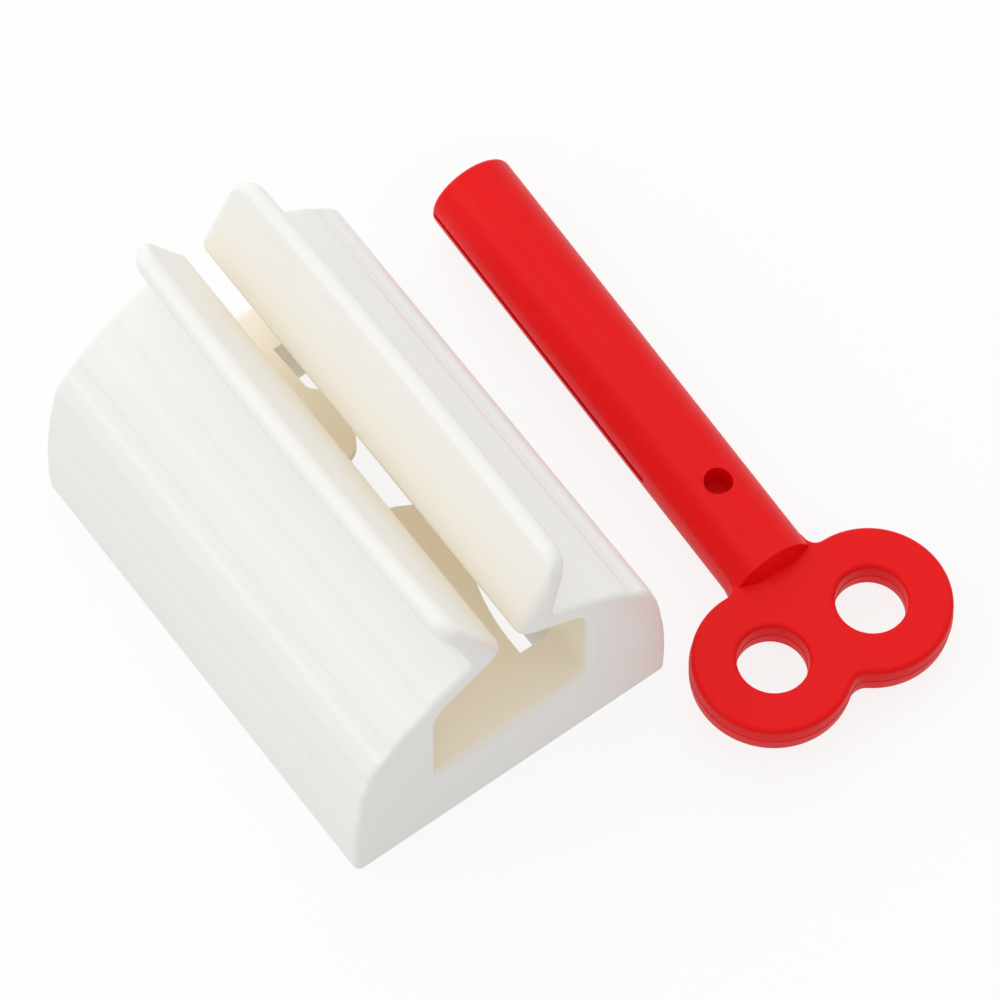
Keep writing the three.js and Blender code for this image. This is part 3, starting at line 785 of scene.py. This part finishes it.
# The floor is a plain white sweep that the pieces lie on, just under them, and keeps their soft shadows.
# Its paper is mixed with a glow, so that it stays white round them and lights the pieces from below.
# The camera sees more of the glow than the pieces do.
FLOOR_HALF_SIZE = 3.0
FLOOR_HEIGHT = -0.0002
GLOW_UNSEEN, GLOW_SEEN = 0.79, 1.0
GLOW_SHARE_UNSEEN, GLOW_SHARE_SEEN = 0.6, 0.84
ground = bmesh.new()
bmesh.ops.create_grid(
    ground, x_segments=1, y_segments=1, size=FLOOR_HALF_SIZE, matrix=Matrix.Translation((0, 0, FLOOR_HEIGHT)),
)
floor = as_object(ground, "floor")
floor_paint = bpy.data.materials.new("white_sweep")
floor_paint.use_nodes = True
nodes, links = floor_paint.node_tree.nodes, floor_paint.node_tree.links
paper = nodes["Principled BSDF"]
paper.inputs["Base Color"].default_value = (0.92, 0.92, 0.92, 1)
paper.inputs["Roughness"].default_value = 0.9
paper.inputs["Specular IOR Level"].default_value = 0.1
glow = nodes.new("ShaderNodeEmission")
table = nodes.new("ShaderNodeMixShader")
seen = nodes.new("ShaderNodeLightPath")
for socket, unseen_value, seen_value in (
    (glow.inputs["Strength"], GLOW_UNSEEN, GLOW_SEEN),
    (table.inputs["Fac"], GLOW_SHARE_UNSEEN, GLOW_SHARE_SEEN),
):
    by_ray = nodes.new("ShaderNodeMapRange")
    by_ray.inputs["To Min"].default_value = unseen_value
    by_ray.inputs["To Max"].default_value = seen_value
    links.new(seen.outputs["Is Camera Ray"], by_ray.inputs["Value"])
    links.new(by_ray.outputs["Result"], socket)
links.new(paper.outputs["BSDF"], table.inputs[1])
links.new(glow.outputs["Emission"], table.inputs[2])
links.new(table.outputs["Shader"], nodes["Material Output"].inputs["Surface"])
floor.data.materials.append(floor_paint)


# The surroundings are a plain white tent, brightest overhead and towards the back.
BRIGHTEST = (0, 0.577, 0.816)
TENT_LEAST = 0.18
TENT_MOST = 1.1
world = bpy.data.worlds.new("studio")
world.use_nodes = True
nodes, links = world.node_tree.nodes, world.node_tree.links
nodes["Background"].inputs["Color"].default_value = (1, 1, 1, 1)
direction = nodes.new("ShaderNodeTexCoord")
height = nodes.new("ShaderNodeVectorMath")
height.operation = "DOT_PRODUCT"
height.inputs[1].default_value = BRIGHTEST
tent = nodes.new("ShaderNodeMapRange")
tent.inputs["From Min"].default_value = -1
tent.inputs["To Min"].default_value = TENT_LEAST
tent.inputs["To Max"].default_value = TENT_MOST
links.new(direction.outputs["Generated"], height.inputs[0])
links.new(height.outputs["Value"], tent.inputs["Value"])
links.new(tent.outputs["Result"], nodes["Background"].inputs["Strength"])
bpy.context.scene.world = world


# Two soft lamp panels stand behind the pieces, on the right and on the left.
# A faint warm lamp in the chamber stands for the light that the plastic lets through its walls.
CHAMBER_LAMP_HEIGHT = 37.5


def panel(name, place, aim, width, length, watts):
    """A rectangular soft lamp that faces a point."""
    lamp = bpy.data.lights.new(name, "AREA")
    lamp.shape = "RECTANGLE"
    lamp.energy = watts
    lamp.size = width
    lamp.size_y = length
    stand = bpy.data.objects.new(name, lamp)
    stand.location = place
    stand.rotation_euler = (Vector(aim) - Vector(place)).to_track_quat("-Z", "Y").to_euler()
    bpy.context.scene.collection.objects.link(stand)
    return stand


panel("back_right_panel", (0.30, 0.40, 0.95), (0, 0, 0), width=0.42, length=0.42, watts=0.36)
panel("back_left_panel", (-0.62, 0.41, 0.78), (0, 0, 0), width=0.55, length=0.55, watts=1.15)
chamber_middle = holder_place + Vector((0, 0, CHAMBER_LAMP_HEIGHT)) * MM
chamber_light = panel(
    "chamber_light", chamber_middle, holder_place, width=0.02, length=0.08, watts=0.00145,
)
chamber_light.data.color = (1, 0.86, 0.62)
chamber_light.visible_camera = False
chamber_light.visible_glossy = False


# The camera stands where the photograph was taken from, with a long lens.
CAMERA_PLACE = Vector((-356.37, -481.37, 1230.2)) * MM
LOOK = Vector((0.2631, 0.3584, -0.8957))
camera_data = bpy.data.cameras.new("camera")
camera_data.sensor_width = 36
camera_data.lens = 288
camera_data.clip_end = 20
camera = bpy.data.objects.new("camera", camera_data)
camera.location = CAMERA_PLACE
camera.rotation_euler = LOOK.to_track_quat("-Z", "Y").to_euler()
bpy.context.scene.collection.objects.link(camera)
bpy.context.scene.camera = camera
bpy.context.scene.view_settings.view_transform = "Standard"
